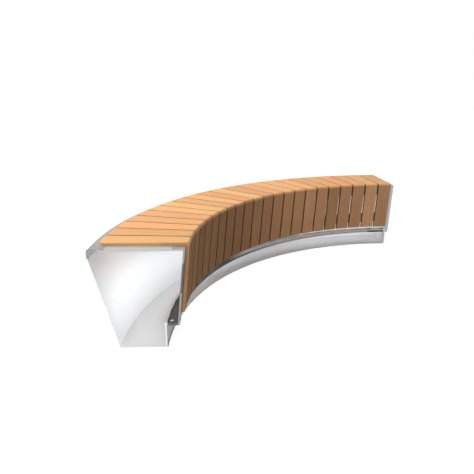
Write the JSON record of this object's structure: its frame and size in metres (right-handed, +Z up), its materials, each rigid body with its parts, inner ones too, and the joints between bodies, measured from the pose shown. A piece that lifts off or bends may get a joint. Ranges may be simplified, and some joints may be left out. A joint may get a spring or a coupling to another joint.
{
  "type": "tree bench",
  "caption": "Quarter-ring bench with a folded steel body, radial timber seat slats, a slatted timber front and an open toe slot",
  "frame": {"origin": "centre of the bounding box's underside, on the ground", "axes": "+Z up; the open left end faces -Y and lies along -X, the closed right end faces +X and lies along +Y; the concave front looks towards +X and -Y"},
  "size_m": [1.688, 1.688, 0.45],
  "materials": {
    "white_steel": "smooth powder coat, near white, satin",
    "grey_steel": "smooth powder coat, light grey, satin",
    "dark_steel": "dark grey powder coat, satin",
    "screw_steel": "plain stainless steel",
    "seat_timber": "oiled hardwood, light, varying from board to board",
    "skirt_timber": "oiled hardwood, mid brown, varying from board to board"
  },
  "bodies": {
    "root": {"outer_wall": "white_steel", "floor_plate": "white_steel", "ledge_angle": "white_steel", "right_end_plate": "white_steel", "rib_1": "white_steel", "rib_2": "white_steel", "top_coping": "grey_steel", "seat_rail": "grey_steel", "left_cross_bar": "grey_steel", "skirt_rail_lower": "grey_steel", "skirt_rail_upper": "grey_steel", "left_toe_post": "grey_steel", "left_skirt_upright": "grey_steel", "ledge_bar": "dark_steel", "left_stile": "dark_steel", "slat_screws": "screw_steel", "top_slat_01": "seat_timber", "skirt_slat_01": "skirt_timber", "top_slat_02": "seat_timber", "skirt_slat_02": "skirt_timber", "top_slat_03": "seat_timber", "skirt_slat_03": "skirt_timber", "top_slat_04": "seat_timber", "skirt_slat_04": "skirt_timber", "top_slat_05": "seat_timber", "skirt_slat_05": "skirt_timber", "top_slat_06": "seat_timber", "skirt_slat_06": "skirt_timber", "top_slat_07": "seat_timber", "skirt_slat_07": "skirt_timber", "top_slat_08": "seat_timber", "skirt_slat_08": "skirt_timber", "top_slat_09": "seat_timber", "skirt_slat_09": "skirt_timber", "top_slat_10": "seat_timber", "skirt_slat_10": "skirt_timber", "top_slat_11": "seat_timber", "skirt_slat_11": "skirt_timber", "top_slat_12": "seat_timber", "skirt_slat_12": "skirt_timber", "top_slat_13": "seat_timber", "skirt_slat_13": "skirt_timber", "top_slat_14": "seat_timber", "skirt_slat_14": "skirt_timber", "top_slat_15": "seat_timber", "skirt_slat_15": "skirt_timber", "top_slat_16": "seat_timber", "skirt_slat_16": "skirt_timber", "top_slat_17": "seat_timber", "skirt_slat_17": "skirt_timber", "top_slat_18": "seat_timber", "skirt_slat_18": "skirt_timber", "top_slat_19": "seat_timber", "skirt_slat_19": "skirt_timber", "top_slat_20": "seat_timber", "skirt_slat_20": "skirt_timber", "top_slat_21": "seat_timber", "skirt_slat_21": "skirt_timber", "top_slat_22": "seat_timber", "skirt_slat_22": "skirt_timber"}
  },
  "joints": []
}
